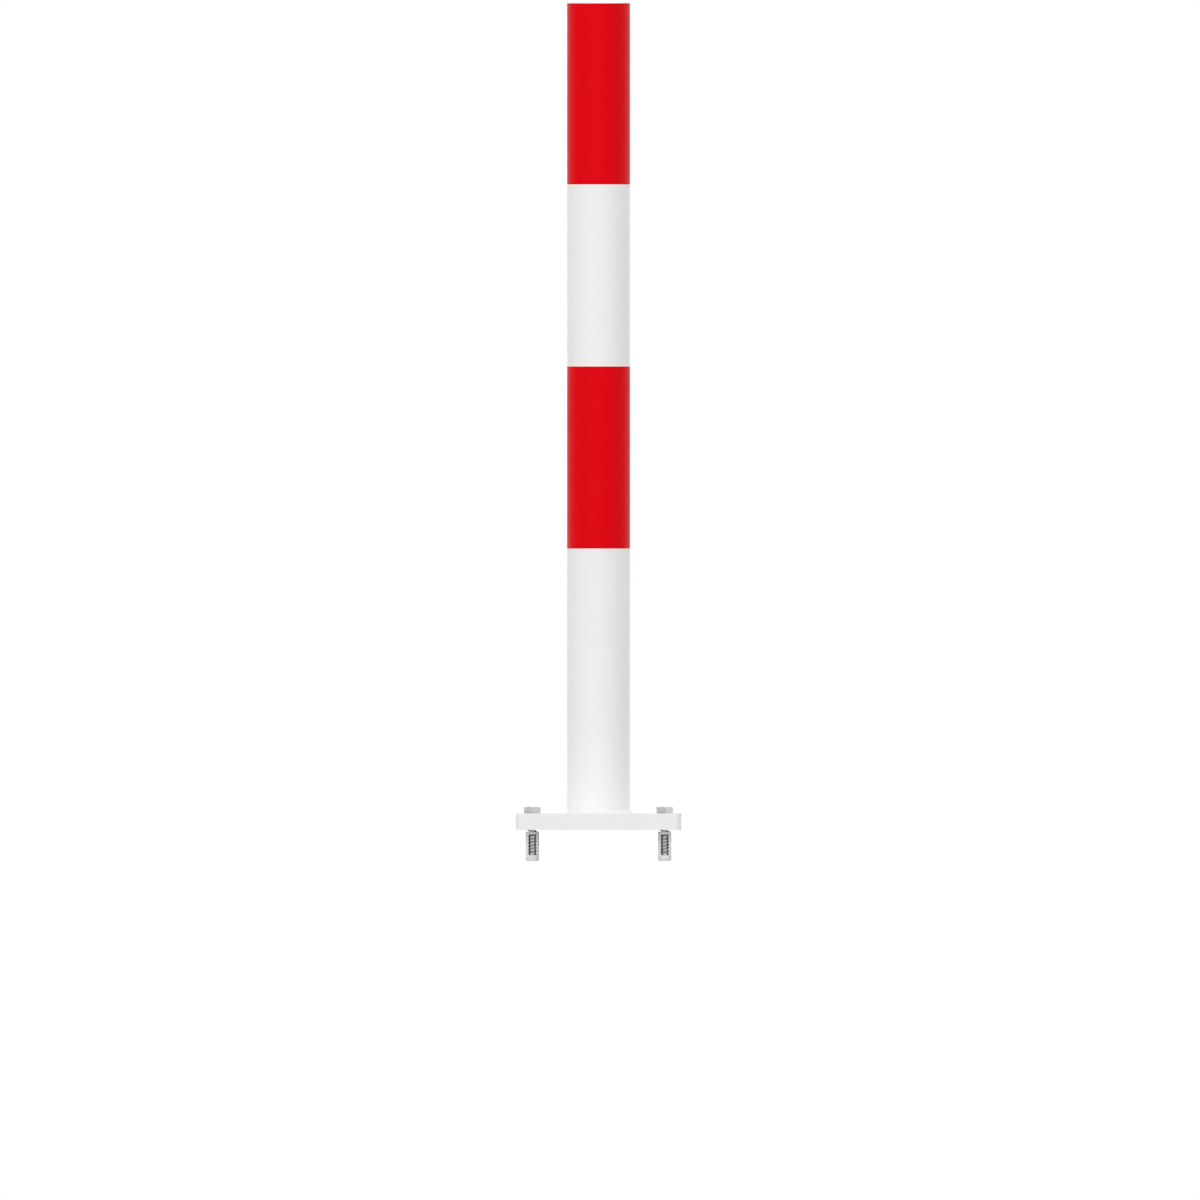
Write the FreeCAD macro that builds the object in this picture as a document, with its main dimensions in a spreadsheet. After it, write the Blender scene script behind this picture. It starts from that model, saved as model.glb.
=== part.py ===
import FreeCAD, Part
import os
import Sketcher

# Bolt-down bollard. A closed steel post stands on a square plate that four screws hold to the ground.
# Millimetres and degrees. The origin is the centre of the plate's underside, +Z is up, the front faces -Y.

TOLERANCE = 1e-4
CHAMFER_ANGLE = 45.0

# Each row is a name, its value and what it measures
DRIVING_SIZES = [
    ("overall_height", 1000, "ground to the top of the post"),
    ("post_diameter", 76.1, "outside of the tube"),
    ("post_wall", 2.9, "wall of the tube"),
    ("post_top_radius", 0.8, "rounding of the tube's upper outer edge"),
    ("lid_thickness", 5, "disc that closes the tube"),
    ("lid_clearance", 0.1, "gap all round between disc and tube"),
    ("lid_weld_depth", 1.5, "bevel on both sides of the lid's seam"),
    ("plate_width", 200, "base plate along X"),
    ("plate_depth", 200, "base plate along Y"),
    ("plate_thickness", 20, "base plate along Z"),
    ("plate_corner_radius", 8, "rounding of the plate's upright corners"),
    ("plate_edge_chamfer", 1, "broken edges of the plate's faces"),
    ("vent_diameter", 20, "vent and drain hole under the tube"),
    ("base_weld_leg", 3, "legs of the fillet weld round the tube"),
    ("base_weld_bulge", 0.4, "how far the weld's face swells outwards"),
    ("bolt_spacing_across", 160, "between screw centres along X"),
    ("bolt_spacing_deep", 160, "between screw centres along Y"),
    ("bolt_hole_diameter", 14, "clearance hole for a screw"),
    ("bolt_hole_chamfer", 0.5, "broken rims of the screw holes"),
    ("band_height", 220, "each coloured band of the post"),
    ("film_thickness", 0.25, "red film"),
    ("film_adhesive", 0.05, "adhesive between tube and film"),
    ("film_lap", 10, "how far the film's end laps over its start"),
    ("film_top_margin", 0.5, "bare rim between the tube's rounding and the film"),
    ("screw_diameter", 12, "plain shank"),
    ("screw_length", 51, "from under the head to the tip"),
    ("screw_shank", 20, "plain length under the head"),
    ("screw_tip_relief", 0.5, "how far the blunt tip lies inside the thread's core"),
    ("head_flats", 19, "hexagon across its flats"),
    ("head_height", 8, "hexagon along Z"),
    ("head_chamfer_fall", 0.9, "how far the head's corners are turned down"),
    ("thread_core_diameter", 9, "root of the thread"),
    ("thread_relief", 0.05, "how far the thread's crest lies inside the shank's radius"),
    ("thread_pitch", 3.9, "rise of the thread in one turn"),
    ("thread_foot", 2, "width of the thread at its core"),
    ("thread_crest", 0.3, "width of the thread at its crest"),
    ("plug_diameter", 16, "hole to drill, and the plug in it"),
    ("plug_length", 35, "plug along Z"),
    ("plug_setback", 2.2, "how far the plug's rim lies below the plate"),
    ("plug_bore_clearance", 0.05, "gap between thread crests and bore"),
    ("plug_tip_clearance", 0.5, "gap between the screw's tip and the bore's floor"),
    ("plug_collar", 3, "uncut neck of the plug"),
    ("plug_slit_width", 10, "opening between the plug's two shells, front and back"),
    ("plug_slit_end", 1, "wall between the slit's end and the bore's floor"),
    ("plug_tooth_pitch", 4.8, "from one barb to the next"),
    ("plug_teeth", 5, "barbs along the plug"),
    ("plug_tooth_depth", 0.8, "how far the barbs are cut in"),
    ("plug_tooth_land", 1, "uncut length of a barb"),
    ("plug_fin_width", 1.6, "each of the two fins that stop it turning"),
    ("plug_fin_relief", 0.05, "how far the fins lie inside the plug's radius"),
    ("plug_nose_taper", 1, "how far the closed nose is turned in"),
    ("plug_nose_length", 2, "length of the nose's taper"),
]

# Where each screw and its plug stand: sign along X, sign along Y, and how far the hexagon is turned
STATIONS = {
    "front_left": (-1, -1, 23),
    "front_right": (1, -1, 37),
    "back_left": (-1, 1, 33),
    "back_right": (1, 1, 26),
}

doc = FreeCAD.newDocument("bollard")


def make_sheet():
    """Writes the driving sizes into a spreadsheet, one named cell each."""
    sheet = doc.addObject("Spreadsheet::Sheet", "sizes")
    for row, (name, value, meaning) in enumerate(DRIVING_SIZES, start=1):
        sheet.set(f"A{row}", meaning)
        sheet.set(f"B{row}", str(value))
        sheet.setAlias(f"B{row}", name)
    doc.recompute()
    return sheet


def new_body(label):
    """One physical piece."""
    body = doc.addObject("PartDesign::Body", label)
    body.Label = label
    return body


def new_sketch(body, role, name):
    """A sketch on one of the body's own origin planes."""
    plane = next(feature for feature in body.Origin.OriginFeatures if feature.Role == role)
    sketch = body.newObject("Sketcher::SketchObject", f"{body.Name}_{name}")
    sketch.AttachmentSupport = [(plane, "")]
    sketch.MapMode = "FlatFace"
    return sketch


def bind_point(sketch, geometry, position, across, up):
    """Ties one point of a sketch to two expressions, where None stands for the axis itself."""
    for kind, axis, expression in (("DistanceX", -2, across), ("DistanceY", -1, up)):
        if expression is None:
            sketch.addConstraint(Sketcher.Constraint("PointOnObject", geometry, position, axis))
        else:
            index = sketch.addConstraint(Sketcher.Constraint(kind, -1, 1, geometry, position, 1.0))
            sketch.setExpression(f"Constraints[{index}]", expression)


def draw_outline(sketch, points):
    """A closed outline of straight lines through points that are pairs of expressions."""
    count = len(points)
    seats = [FreeCAD.Vector(index, index * index, 0) for index in range(count)]
    first = sketch.GeometryCount
    for index in range(count):
        line = Part.LineSegment(seats[index], seats[(index + 1) % count])
        sketch.addGeometry(line, False)
    for index in range(count):
        following = first + (index + 1) % count
        sketch.addConstraint(Sketcher.Constraint("Coincident", first + index, 2, following, 1))
    for index, (across, up) in enumerate(points):
        bind_point(sketch, first + index, 1, across, up)


def draw_circle(sketch, diameter, across=None, up=None):
    """A circle whose diameter and centre are expressions."""
    circle = Part.Circle(FreeCAD.Vector(1, 1, 0), FreeCAD.Vector(0, 0, 1), 1)
    geometry = sketch.addGeometry(circle, False)
    index = sketch.addConstraint(Sketcher.Constraint("Diameter", geometry, 2.0))
    sketch.setExpression(f"Constraints[{index}]", diameter)
    bind_point(sketch, geometry, 3, across, up)


def add_feature(body, kind, name, bound=None, **settings):
    """A feature of the body, with plain settings and with sizes bound to expressions."""
    feature = body.newObject(f"PartDesign::{kind}", f"{body.Name}_{name}")
    for key, value in settings.items():
        setattr(feature, key, value)
    for key, expression in (bound or {}).items():
        feature.setExpression(key, expression)
    body.Tip = feature
    doc.recompute()
    return feature


def turn(body, kind, name, sketch):
    """A Revolution or Groove of the sketch all round the piece's own axis."""
    return add_feature(
        body, kind, name, Profile=sketch, ReferenceAxis=(sketch, ["V_Axis"]), Angle=360.0
    )


def repeat_down(body, name, original, sketch, pitch, count):
    """Repeats one feature downwards along the piece's axis."""
    return add_feature(
        body, "LinearPattern", name, {"Length": f"{pitch} * ({count} - 1)", "Occurrences": count},
        Originals=[original], Direction=(sketch, ["V_Axis"]), Reversed=True,
    )


def edge_names(shape, wanted):
    """Names of the shape's edges that are among the wanted ones."""
    return [
        f"Edge{number}"
        for number, edge in enumerate(shape.Edges, start=1)
        if any(edge.isSame(other) for other in wanted)
    ]


def level_faces(shape, level):
    """Flat faces that lie level at one height."""
    return [
        face
        for face in shape.Faces
        if face.BoundBox.ZLength < TOLERANCE and abs(face.BoundBox.ZMin - level) < TOLERANCE
    ]


def draw_hole_circles(sketch, margin):
    """The plate's screw holes and vent hole, widened all round by a margin."""
    for along_x, along_y, _ in STATIONS.values():
        draw_circle(
            sketch, f"sizes.bolt_hole_diameter + 2 * {margin}",
            f"{along_x} * sizes.bolt_spacing_across / 2", f"{along_y} * sizes.bolt_spacing_deep / 2",
        )
    draw_circle(sketch, f"sizes.vent_diameter + 2 * {margin}")


def make_base_plate(sheet):
    """Square plate with rounded corners, four screw holes and a vent hole."""
    body = new_body("base_plate")
    outline = new_sketch(body, "XY_Plane", "outline")
    half_x, half_y = "sizes.plate_width / 2", "sizes.plate_depth / 2"
    draw_outline(outline, [
        (f"-{half_x}", f"-{half_y}"),
        (half_x, f"-{half_y}"),
        (half_x, half_y),
        (f"-{half_x}", half_y),
    ])
    slab = add_feature(body, "Pad", "slab", {"Length": "sizes.plate_thickness"}, Profile=outline)

    upright = [edge for edge in slab.Shape.Edges if edge.BoundBox.ZLength > TOLERANCE]
    corners = add_feature(
        body, "Fillet", "corners", {"Radius": "sizes.plate_corner_radius"},
        Base=(slab, edge_names(slab.Shape, upright)),
    )

    rims = [
        edge
        for level in (0, sheet.plate_thickness)
        for face in level_faces(corners.Shape, level)
        for edge in face.OuterWire.Edges
    ]
    add_feature(
        body, "Chamfer", "edges", {"Size": "sizes.plate_edge_chamfer"},
        Base=(corners, edge_names(corners.Shape, rims)),
    )

    holes = new_sketch(body, "XY_Plane", "holes")
    draw_hole_circles(holes, "0")
    add_feature(body, "Pocket", "drilled", Profile=holes, Type="ThroughAll", SideType="Symmetric")

    for name, height, upwards in (("lower", None, True), ("upper", "sizes.plate_thickness", False)):
        wider = new_sketch(body, "XY_Plane", f"{name}_rims")
        if height:
            wider.setExpression("AttachmentOffset.Base.z", height)
        draw_hole_circles(wider, "sizes.bolt_hole_chamfer")
        add_feature(
            body, "Pocket", f"{name}_hole_rims", {"Length": "sizes.bolt_hole_chamfer"},
            Profile=wider, Reversed=upwards, TaperAngle=-CHAMFER_ANGLE,
        )
    return body


def make_post_tube():
    """Tube that stands on the plate, with a rounded upper edge and a bevel for the lid's weld."""
    body = new_body("post_tube")
    section = new_sketch(body, "XZ_Plane", "section")
    outer = "sizes.post_diameter / 2"
    inner = "(sizes.post_diameter / 2 - sizes.post_wall)"
    draw_outline(section, [
        (inner, "sizes.plate_thickness"),
        (outer, "sizes.plate_thickness"),
        (outer, "sizes.overall_height"),
        (f"{inner} + sizes.lid_weld_depth", "sizes.overall_height"),
        (inner, "sizes.overall_height - sizes.lid_weld_depth"),
    ])
    wall = turn(body, "Revolution", "wall", section)

    outermost = max(edge.BoundBox.XMax for edge in wall.Shape.Edges)
    top = wall.Shape.BoundBox.ZMax
    upper_edge = [
        edge for edge in wall.Shape.Edges
        if edge.BoundBox.ZMin > top - TOLERANCE and edge.BoundBox.XMax > outermost - TOLERANCE
    ]
    add_feature(
        body, "Fillet", "upper_edge", {"Radius": "sizes.post_top_radius"},
        Base=(wall, edge_names(wall.Shape, upper_edge)),
    )
    return body


def make_top_lid():
    """Disc that lies in the tube's mouth, flush with its end and bevelled for the weld."""
    body = new_body("top_lid")
    section = new_sketch(body, "XZ_Plane", "section")
    rim = "sizes.post_diameter / 2 - sizes.post_wall - sizes.lid_clearance"
    draw_outline(section, [
        (None, "sizes.overall_height - sizes.lid_thickness"),
        (rim, "sizes.overall_height - sizes.lid_thickness"),
        (rim, "sizes.overall_height - sizes.lid_weld_depth"),
        (f"{rim} - sizes.lid_weld_depth", "sizes.overall_height"),
        (None, "sizes.overall_height"),
    ])
    turn(body, "Revolution", "disc", section)
    return body


def make_lid_weld():
    """Weld that fills the bevels of lid and tube, ground flush with both."""
    body = new_body("lid_weld")
    section = new_sketch(body, "XZ_Plane", "section")
    bore = "sizes.post_diameter / 2 - sizes.post_wall"
    rim = f"{bore} - sizes.lid_clearance"
    foot = "sizes.overall_height - sizes.lid_weld_depth"
    draw_outline(section, [
        (rim, foot),
        (bore, foot),
        (f"{bore} + sizes.lid_weld_depth", "sizes.overall_height"),
        (f"{rim} - sizes.lid_weld_depth", "sizes.overall_height"),
    ])
    turn(body, "Revolution", "seam", section)
    return body


def make_base_weld():
    """Fillet weld in the corner between tube and plate, with a swollen face."""
    body = new_body("base_weld")
    section = new_sketch(body, "XZ_Plane", "section")
    skin = "sizes.post_diameter / 2"
    middle = "sizes.base_weld_leg / 2 + sizes.base_weld_bulge"
    draw_outline(section, [
        (skin, "sizes.plate_thickness"),
        (f"{skin} + sizes.base_weld_leg", "sizes.plate_thickness"),
        (f"{skin} + {middle}", f"sizes.plate_thickness + {middle}"),
        (skin, "sizes.plate_thickness + sizes.base_weld_leg"),
    ])
    turn(body, "Revolution", "bead", section)
    return body


def make_red_band(label, foot, height):
    """Film wrapped round the tube, whose end laps over its start at the back."""
    body = new_body(label)
    tube = "sizes.post_diameter / 2"
    top = f"{foot} + {height}"

    def film_section(name, layer):
        section = new_sketch(body, "YZ_Plane", name)
        inner = f"{tube} + sizes.film_adhesive + {layer} * sizes.film_thickness"
        outer = f"{inner} + sizes.film_thickness"
        draw_outline(section, [(inner, foot), (outer, foot), (outer, top), (inner, top)])
        return section

    turn(body, "Revolution", "wrap", film_section("first_layer", 0))
    second = film_section("second_layer", 1)
    add_feature(
        body, "Revolution", "lap", {"Angle": f"sizes.film_lap / ({tube}) * 180 / pi"},
        Profile=second, ReferenceAxis=(second, ["V_Axis"]),
    )
    return body


def stand_at_stations(label, original, height, turned):
    """Groups four copies of a fastener, one over each screw hole, all at one height."""
    copies = []
    for station, (along_x, along_y, spin) in STATIONS.items():
        copy = doc.addObject("App::Link", f"{original.Name}_{station}")
        copy.LinkedObject = original
        copy.setExpression("Placement.Base.x", f"{along_x} * sizes.bolt_spacing_across / 2")
        copy.setExpression("Placement.Base.y", f"{along_y} * sizes.bolt_spacing_deep / 2")
        copy.setExpression("Placement.Base.z", height)
        if turned:
            copy.setExpression("Placement.Rotation.Angle", str(spin))
        copies.append(copy)
    group = doc.addObject("Part::Compound", label)
    group.Label = label
    group.Links = copies
    return group


def make_anchor_screws():
    """Hexagon-head screws: chamfered head, plain shank, coarse right-hand thread and a blunt tip."""
    body = new_body("anchor_screw")
    radius = "sizes.screw_diameter / 2"
    core = "sizes.thread_core_diameter / 2"
    below_tip = "-sizes.screw_length - sizes.thread_pitch"

    shank = new_sketch(body, "XZ_Plane", "shank_section")
    draw_outline(shank, [
        (None, None),
        (radius, None),
        (radius, f"-sizes.screw_shank + {radius} - {core}"),
        (core, "-sizes.screw_shank"),
        (core, below_tip),
        (None, below_tip),
    ])
    turn(body, "Revolution", "shank", shank)

    # The thread starts below the tip, where it is cut off, and runs out inside the shank
    tooth = new_sketch(body, "XZ_Plane", "tooth_section")
    crest = f"{radius} - sizes.thread_relief"
    sunk = f"{core} - sizes.thread_relief"
    start = "-sizes.screw_length - sizes.thread_pitch / 2"
    draw_outline(tooth, [
        (sunk, f"{start} - sizes.thread_foot / 2"),
        (crest, f"{start} - sizes.thread_crest / 2"),
        (crest, f"{start} + sizes.thread_crest / 2"),
        (sunk, f"{start} + sizes.thread_foot / 2"),
    ])
    rise = f"-sizes.screw_shank + {radius} - {core} + sizes.thread_foot / 2 - ({start})"
    add_feature(
        body, "AdditiveHelix", "thread", {"Pitch": "sizes.thread_pitch", "Height": rise},
        Profile=tooth, ReferenceAxis=(tooth, ["V_Axis"]), Mode="pitch-height-angle",
    )

    tip = new_sketch(body, "XZ_Plane", "tip_section")
    tip_radius = f"{core} - sizes.screw_tip_relief"
    draw_outline(tip, [
        (None, "-sizes.screw_length"),
        (tip_radius, "-sizes.screw_length"),
        (f"{tip_radius} + {radius}", f"-sizes.screw_length + {radius}"),
        (f"{tip_radius} + {radius}", f"{below_tip} - sizes.thread_pitch"),
        (None, f"{below_tip} - sizes.thread_pitch"),
    ])
    turn(body, "Groove", "tip", tip)

    hexagon = new_sketch(body, "XY_Plane", "hexagon")
    corner = "sizes.head_flats / sqrt(3)"
    draw_outline(hexagon, [
        (corner, None),
        (f"{corner} / 2", "sizes.head_flats / 2"),
        (f"-{corner} / 2", "sizes.head_flats / 2"),
        (f"-{corner}", None),
        (f"-{corner} / 2", "-sizes.head_flats / 2"),
        (f"{corner} / 2", "-sizes.head_flats / 2"),
    ])
    add_feature(body, "Pad", "head", {"Length": "sizes.head_height"}, Profile=hexagon)

    turned_off = new_sketch(body, "XZ_Plane", "head_chamfer_section")
    draw_outline(turned_off, [
        ("sizes.head_flats / 2", "sizes.head_height"),
        (f"2 * {corner} - sizes.head_flats / 2", "sizes.head_height"),
        (f"2 * {corner} - sizes.head_flats / 2", "sizes.head_height - 2 * sizes.head_chamfer_fall"),
    ])
    turn(body, "Groove", "head_chamfer", turned_off)

    return stand_at_stations("anchor_screws", body, "sizes.plate_thickness", turned=True)


def make_anchor_plugs():
    """Expansion plugs round the threads: neck, two barbed and finned shells, closed nose."""
    body = new_body("anchor_plug")
    radius = "sizes.plug_diameter / 2"
    bore = "sizes.screw_diameter / 2 + sizes.plug_bore_clearance"
    floor = (
        "(sizes.screw_length - sizes.plate_thickness - sizes.plug_setback"
        " + sizes.plug_tip_clearance)"
    )

    section = new_sketch(body, "XZ_Plane", "section")
    draw_outline(section, [
        (None, f"-{floor}"),
        (bore, f"-{floor}"),
        (bore, None),
        (radius, None),
        (radius, "-sizes.plug_length + sizes.plug_nose_length"),
        (f"{radius} - sizes.plug_nose_taper", "-sizes.plug_length"),
        (None, "-sizes.plug_length"),
    ])
    turn(body, "Revolution", "blank", section)

    barb = new_sketch(body, "XZ_Plane", "barb_section")
    step = "-sizes.plug_collar - sizes.plug_tooth_pitch + sizes.plug_tooth_land"
    beyond = f"{radius} + sizes.plug_tooth_depth"
    draw_outline(barb, [
        (f"{radius} - sizes.plug_tooth_depth", step),
        (beyond, step),
        (beyond, f"{step} + 2 * (sizes.plug_tooth_pitch - sizes.plug_tooth_land)"),
    ])
    notch = turn(body, "Groove", "barb", barb)
    repeat_down(body, "barbs", notch, barb, "sizes.plug_tooth_pitch", "sizes.plug_teeth")

    fins = new_sketch(body, "XY_Plane", "fin_outline")
    half_fin = "sizes.plug_fin_width / 2"
    for side in ("", "-"):
        tip = f"{side}({radius} - sizes.plug_fin_relief)"
        root = f"{side}({radius} - sizes.plug_tooth_depth - sizes.plug_fin_relief)"
        draw_outline(fins, [
            (root, f"-{half_fin}"),
            (tip, f"-{half_fin}"),
            (tip, half_fin),
            (root, half_fin),
        ])
    barbed_end = "sizes.plug_collar + sizes.plug_tooth_pitch * sizes.plug_teeth"
    add_feature(body, "Pad", "fins", {"Length": barbed_end}, Profile=fins, Reversed=True)

    slit = new_sketch(body, "XZ_Plane", "slit_outline")
    half_slit = "sizes.plug_slit_width / 2"
    end = f"-{floor} + sizes.plug_slit_end"
    draw_outline(slit, [
        (f"-{half_slit}", end),
        (half_slit, end),
        (half_slit, "-sizes.plug_collar"),
        (f"-{half_slit}", "-sizes.plug_collar"),
    ])
    add_feature(body, "Pocket", "slits", Profile=slit, Type="ThroughAll", SideType="Symmetric")

    return stand_at_stations("anchor_plugs", body, "-sizes.plug_setback", turned=False)


def main():
    """Builds every piece, checks it and writes its file."""
    sheet = make_sheet()
    pieces = [
        make_base_plate(sheet),
        make_post_tube(),
        make_base_weld(),
        make_top_lid(),
        make_lid_weld(),
    ]
    highest = "sizes.overall_height - sizes.post_top_radius - sizes.film_top_margin"
    upper_foot = "sizes.overall_height - sizes.band_height"
    lower_foot = "sizes.overall_height - 3 * sizes.band_height"
    pieces.append(make_red_band("upper_red_band", upper_foot, f"{highest} - ({upper_foot})"))
    pieces.append(make_red_band("lower_red_band", lower_foot, "sizes.band_height"))
    pieces.append(make_anchor_screws())
    pieces.append(make_anchor_plugs())
    doc.recompute()

    for thing in doc.Objects:
        faults = {"Invalid", "Error"} & set(thing.State)
        if faults:
            raise RuntimeError(f"{thing.Name} failed: {', '.join(thing.State)}")
    for piece in pieces:
        if piece.Shape.isNull() or not piece.Shape.isValid():
            raise RuntimeError(f"{piece.Label} has no valid shape")
        if len(piece.Shape.Solids) != (len(STATIONS) if piece.TypeId == "Part::Compound" else 1):
            raise RuntimeError(f"{piece.Label} has a wrong number of solids")

    os.makedirs("parts", exist_ok=True)
    for piece in pieces:
        piece.Shape.exportStep(f"parts/{piece.Label}.step")
        box = piece.Shape.optimalBoundingBox(False)
        print(f"{piece.Label}: {piece.Shape.Volume:.1f} mm3, z {box.ZMin:.2f} to {box.ZMax:.2f}")


main()
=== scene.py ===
"""Bolt-down bollard: a coated steel post with red film bands, screwed to the ground through its base plate.

Meshes are shaped in millimetres, in the row frame, and scaled to metres when a piece is finished.
"""

import logging
import math
from collections.abc import Iterable
from dataclasses import dataclass, field
from enum import Enum

import bmesh
import bpy
from bmesh.types import BMEdge, BMesh, BMFace, BMVert
from bpy.types import Material, NodeSocket, NodeTree
from mathutils import Matrix, Vector, noise


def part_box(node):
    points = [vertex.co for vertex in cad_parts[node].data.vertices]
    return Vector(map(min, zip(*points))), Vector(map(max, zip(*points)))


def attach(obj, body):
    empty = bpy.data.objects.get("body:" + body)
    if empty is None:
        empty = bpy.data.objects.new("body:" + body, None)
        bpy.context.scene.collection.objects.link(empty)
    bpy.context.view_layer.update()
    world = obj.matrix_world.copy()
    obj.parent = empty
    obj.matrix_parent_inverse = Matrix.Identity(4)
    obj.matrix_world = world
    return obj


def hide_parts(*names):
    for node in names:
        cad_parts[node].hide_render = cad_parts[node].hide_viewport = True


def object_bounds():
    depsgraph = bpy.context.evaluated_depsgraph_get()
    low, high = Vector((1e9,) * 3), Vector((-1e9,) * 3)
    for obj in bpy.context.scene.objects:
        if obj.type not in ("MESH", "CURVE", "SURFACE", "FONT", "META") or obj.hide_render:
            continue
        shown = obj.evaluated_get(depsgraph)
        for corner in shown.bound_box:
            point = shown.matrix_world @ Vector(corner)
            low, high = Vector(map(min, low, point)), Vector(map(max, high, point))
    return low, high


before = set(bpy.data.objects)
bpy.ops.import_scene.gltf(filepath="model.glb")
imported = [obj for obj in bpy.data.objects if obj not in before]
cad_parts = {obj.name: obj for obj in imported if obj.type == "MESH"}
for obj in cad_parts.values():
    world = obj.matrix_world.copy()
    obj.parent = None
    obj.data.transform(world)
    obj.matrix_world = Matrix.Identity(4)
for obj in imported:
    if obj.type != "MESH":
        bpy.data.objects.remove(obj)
CAD_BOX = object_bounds()

logging.basicConfig(level=logging.INFO, format="%(message)s")
log = logging.getLogger("bollard")

MM = 0.001
FULL_TURN = 2 * math.pi
MERGE_DISTANCE = 0.004
SNAP = 0.02
BOLT_SPACING = 160.0
ORIGIN = (0.0, 0.0, 0.0)
Z_AXIS = (0.0, 0.0, 1.0)
WHITE = (1.0, 1.0, 1.0, 1.0)
OWN_PLACE = "own_place"

Colour = tuple[float, float, float]
Place = tuple[float, float, float]
SectionPoint = tuple[float, float]
Element = BMVert | BMEdge | BMFace
Inputs = dict[str | int, object]


class Node(Enum):
    """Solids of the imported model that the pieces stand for."""

    PLATE = "base_plate"
    TUBE = "post_tube"
    BASE_WELD = "base_weld"
    LID = "top_lid"
    LID_WELD = "lid_weld"
    UPPER_BAND = "upper_red_band"
    LOWER_BAND = "lower_red_band"
    SCREWS = "anchor_screws"
    PLUGS = "anchor_plugs"


class Slot(Enum):
    """Material slots of the record."""

    COAT = "white_coat"
    FILM = "red_film"
    ZINC = "zinc_plate"
    NYLON = "plug_nylon"


class Station(Enum):
    """Corners of the plate: sign along X, sign along Y and how far the screw is turned, in degrees."""

    FRONT_LEFT = (-1, -1, 23)
    FRONT_RIGHT = (1, -1, 37)
    BACK_LEFT = (-1, 1, 33)
    BACK_RIGHT = (1, 1, 26)

    def __init__(self, sign_x: int, sign_y: int, degrees: int) -> None:
        """Works out where the screw's axis stands, and its turn in radians.

        Args:
            sign_x: the sign of its place along X.
            sign_y: the sign of its place along Y.
            degrees: how far the screw is turned.
        """
        self.x = sign_x * BOLT_SPACING / 2
        self.y = sign_y * BOLT_SPACING / 2
        self.turn = math.radians(degrees)


# Sizes and small shaping helpers


def cad_box(node: Node) -> tuple[Vector, Vector]:
    """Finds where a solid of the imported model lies.

    Args:
        node: the solid.

    Returns:
        Its lowest and highest corners, in millimetres.
    """
    low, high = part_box(node.value)
    return low / MM, high / MM


def clamped(share: float) -> float:
    """Keeps a share between 0 and 1."""
    return min(max(share, 0.0), 1.0)


def radius_of(vert: BMVert) -> float:
    """Distance of a vertex from the Z axis."""
    return math.hypot(vert.co.x, vert.co.y)


def set_radius(vert: BMVert, radius: float) -> None:
    """Moves a vertex straight out or in to a distance from the Z axis.

    Args:
        vert: a vertex that doesn't lie on the axis.
        radius: the new distance.
    """
    factor = radius / radius_of(vert)
    vert.co.x *= factor
    vert.co.y *= factor


def section_chain(bm: BMesh, points: Iterable[SectionPoint], closed: bool) -> list[Element]:
    """Draws a section as a chain of vertices and edges.

    Args:
        bm: the mesh to draw in.
        points: pairs of a distance from the axis and a height.
        closed: True if the last point joins the first.

    Returns:
        The vertices and edges, ready for a spin.
    """
    verts = [bm.verts.new((radius, 0.0, height)) for radius, height in points]
    following = verts[1:] + verts[:1] if closed else verts[1:]
    edges = [bm.edges.new(pair) for pair in zip(verts, following)]
    return verts + edges


def turned(points: Iterable[SectionPoint], steps: int, closed: bool = True) -> BMesh:
    """Turns a section all round the Z axis.

    Args:
        points: pairs of a distance from the axis and a height.
        steps: how many faces go round.
        closed: True if the section is a closed outline.

    Returns:
        A mesh of the turned form.
    """
    bm = bmesh.new()
    bmesh.ops.spin(
        bm, geom=section_chain(bm, points, closed), cent=ORIGIN, axis=Z_AXIS, dvec=ORIGIN, angle=FULL_TURN,
        steps=steps, use_merge=True,
    )
    bmesh.ops.remove_doubles(bm, verts=bm.verts, dist=MERGE_DISTANCE)
    bmesh.ops.recalc_face_normals(bm, faces=bm.faces)
    return bm


def round_off(bm: BMesh, edges: list[BMEdge], radius: float, segments: int) -> None:
    """Rounds edges off.

    Args:
        bm: the mesh.
        edges: its edges to round.
        radius: how far the rounding reaches.
        segments: faces across the rounding.
    """
    bmesh.ops.bevel(
        bm, geom=edges, offset=radius, segments=segments, profile=0.5, affect="EDGES", material=-1,
        clamp_overlap=True,
    )


def ring_edges(bm: BMesh, radius: float, height: float) -> list[BMEdge]:
    """Picks the edges of one ring round the Z axis.

    Args:
        bm: the mesh.
        radius: the ring's distance from the axis.
        height: the ring's height.

    Returns:
        The edges with both ends on the ring.
    """
    return [
        edge for edge in bm.edges
        if all(abs(v.co.z - height) < SNAP and abs(radius_of(v) - radius) < SNAP for v in edge.verts)
    ]


def arc(centre: SectionPoint, radius: float, start: float, end: float, count: int) -> list[SectionPoint]:
    """Lists points of a section's arc.

    Args:
        centre: the arc's centre, as a distance from the axis and a height.
        radius: the arc's radius.
        start: the first point's direction in degrees, from outwards towards up.
        end: the last point's direction.
        count: how many points there are.

    Returns:
        The points from start to end.
    """
    angles = [math.radians(start + (end - start) * step / (count - 1)) for step in range(count)]
    return [(centre[0] + radius * math.cos(a), centre[1] + radius * math.sin(a)) for a in angles]


def cut(bm: BMesh, point: Place, normal: Place, drop: bool = False) -> None:
    """Cuts every face along a plane.

    Args:
        bm: the mesh.
        point: a point of the plane.
        normal: the plane's direction.
        drop: True if all that lies beyond the plane is removed.
    """
    bmesh.ops.bisect_plane(
        bm, geom=bm.verts[:] + bm.edges[:] + bm.faces[:], dist=MERGE_DISTANCE, plane_co=point,
        plane_no=normal, clear_outer=drop,
    )


def open_edges(bm: BMesh) -> list[BMEdge]:
    """Edges where the skin of a mesh is open."""
    return [edge for edge in bm.edges if edge.is_boundary]


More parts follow.
